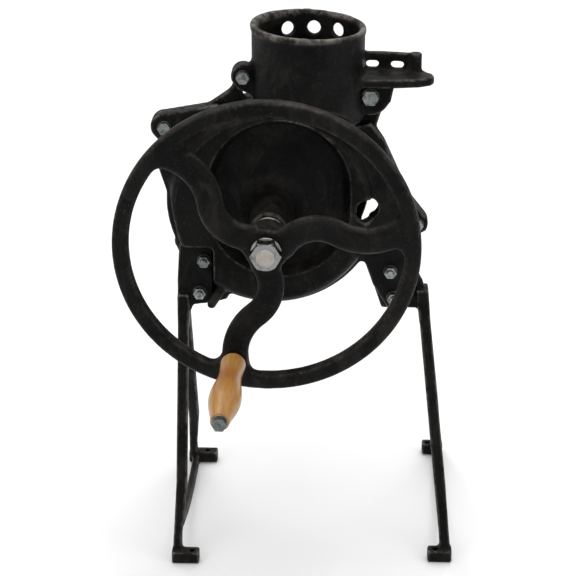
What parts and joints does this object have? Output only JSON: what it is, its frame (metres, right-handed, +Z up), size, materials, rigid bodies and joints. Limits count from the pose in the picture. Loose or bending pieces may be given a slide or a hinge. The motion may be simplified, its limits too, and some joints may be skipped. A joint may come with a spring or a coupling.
{
  "type": "corn sheller",
  "caption": "Free-standing hand corn sheller: cast casing with a feed throat and shelling disc, cranked by a flywheel with a wooden handle, on two side frames.",
  "frame": {"origin": "on the floor at the middle of the footprint of the whole object", "axes": "+Z up, the flywheel and its handle towards -Y, the side shelf towards +X"},
  "size_m": [0.3808, 0.4622, 0.6167],
  "materials": {
    "black_iron": "satin black paint over cast iron",
    "zinc_steel": "zinc plated",
    "bright_steel": "machined",
    "chrome_nut": "bright plated",
    "bush_bronze": "machined",
    "handle_wood": "lacquered",
    "spring_steel": "oiled"
  },
  "bodies": {
    "casing": {"front_casing": "black_iron", "rear_casing": "black_iron", "feed_throat": "black_iron", "front_bearing_bush": "bright_steel", "rear_bearing_bush": "bush_bronze", "casing_bolts": "zinc_steel", "casing_nuts": "zinc_steel", "casing_washers": "zinc_steel", "left_side_frame": "black_iron", "right_side_frame": "black_iron", "frame_bolts": "zinc_steel", "frame_nuts": "zinc_steel", "frame_washers": "zinc_steel", "plate_hinge_pin": "zinc_steel", "hinge_split_pins": "zinc_steel", "pressure_spring": "spring_steel", "spring_seat": "zinc_steel", "lock_nut": "zinc_steel"},
    "rotor": {"main_shaft": "bright_steel", "shelling_disc": "black_iron", "disc_pin": "bright_steel", "spacer_sleeve": "bright_steel", "flywheel": "black_iron", "flywheel_key": "bright_steel", "hub_washer": "bright_steel", "hub_nut": "chrome_nut", "tail_collar": "zinc_steel", "collar_screw": "zinc_steel", "handle_bolt": "zinc_steel", "handle_nut": "zinc_steel", "handle_washers": "zinc_steel"},
    "handle": {"wooden_handle": "handle_wood"},
    "plate": {"pressure_plate": "black_iron"},
    "screw": {"tension_screw": "zinc_steel"}
  },
  "joints": [
    {"name": "crank_spin", "type": "hinge", "parent": "casing", "child": "rotor", "pos_m": [-0.0239, 0.0761, 0.408], "axis": [0, 1, 0], "continuous": true},
    {"name": "handle_spin", "type": "hinge", "parent": "rotor", "child": "handle", "pos_m": [-0.05991, -0.0819, 0.27727], "axis": [0.0401, 0.9992, 0], "continuous": true},
    {"name": "pressure_plate_hinge", "type": "hinge", "parent": "casing", "child": "plate", "pos_m": [0.0261, 0.1121, 0.464], "axis": [1, 0, 0], "range_deg": [0, 9.5], "stiffness_Nm_per_rad": 8, "deforming": ["pressure_spring"]},
    {"name": "tension_screw_turn", "type": "hinge", "parent": "casing", "child": "screw", "pos_m": [0.0261, 0.1961, 0.398], "axis": [0, 1, 0], "range_deg": [-360, 360]}
  ]
}
